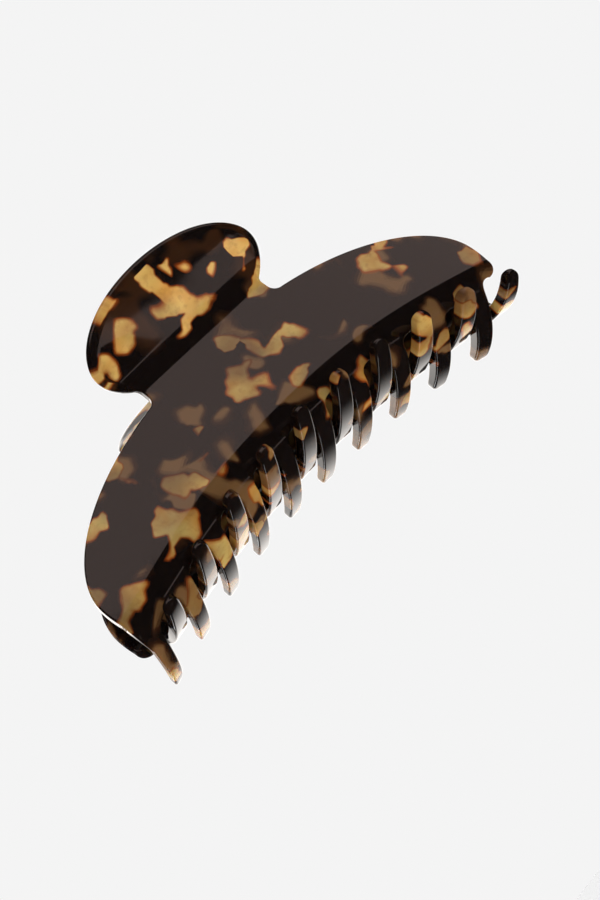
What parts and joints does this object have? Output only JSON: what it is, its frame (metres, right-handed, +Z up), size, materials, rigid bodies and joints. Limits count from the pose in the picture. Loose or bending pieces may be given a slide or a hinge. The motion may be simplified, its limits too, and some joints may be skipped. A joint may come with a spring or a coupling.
{
  "type": "claw clip",
  "caption": "Sprung hair claw clip: two bent half-moon sheet jaws with interleaving teeth and oval finger tabs, joined by a steel pin hinge.",
  "frame": {"origin": "middle of the clip's footprint, level with the lowest teeth", "axes": "X along the clip, Y through the two jaws with the front jaw at -Y, Z up from the teeth to the finger tabs"},
  "size_m": [0.1008, 0.0458, 0.0529],
  "materials": {
    "acetate": "tumble-polished tortoiseshell cellulose acetate sheet",
    "bracket_steel": "nickel-plated stamped steel",
    "pin_steel": "nickel-plated turned steel",
    "spring_steel": "drawn spring wire"
  },
  "bodies": {
    "rear": {"rear_jaw": "acetate", "rear_bracket": "bracket_steel", "rear_studs": "pin_steel", "hinge_pin": "pin_steel", "pin_cap": "pin_steel", "torsion_spring": "spring_steel"},
    "front": {"front_jaw": "acetate", "front_bracket": "bracket_steel", "front_studs": "pin_steel"}
  },
  "joints": [
    {"name": "jaw_hinge", "type": "hinge", "parent": "rear", "child": "front", "pos_m": [0, 0, 0.0352], "axis": [-1, 0, 0], "range_deg": [0, 70], "stiffness_Nm_per_rad": 0.12, "springref_deg": -45.84, "deforming": ["torsion_spring"]}
  ]
}
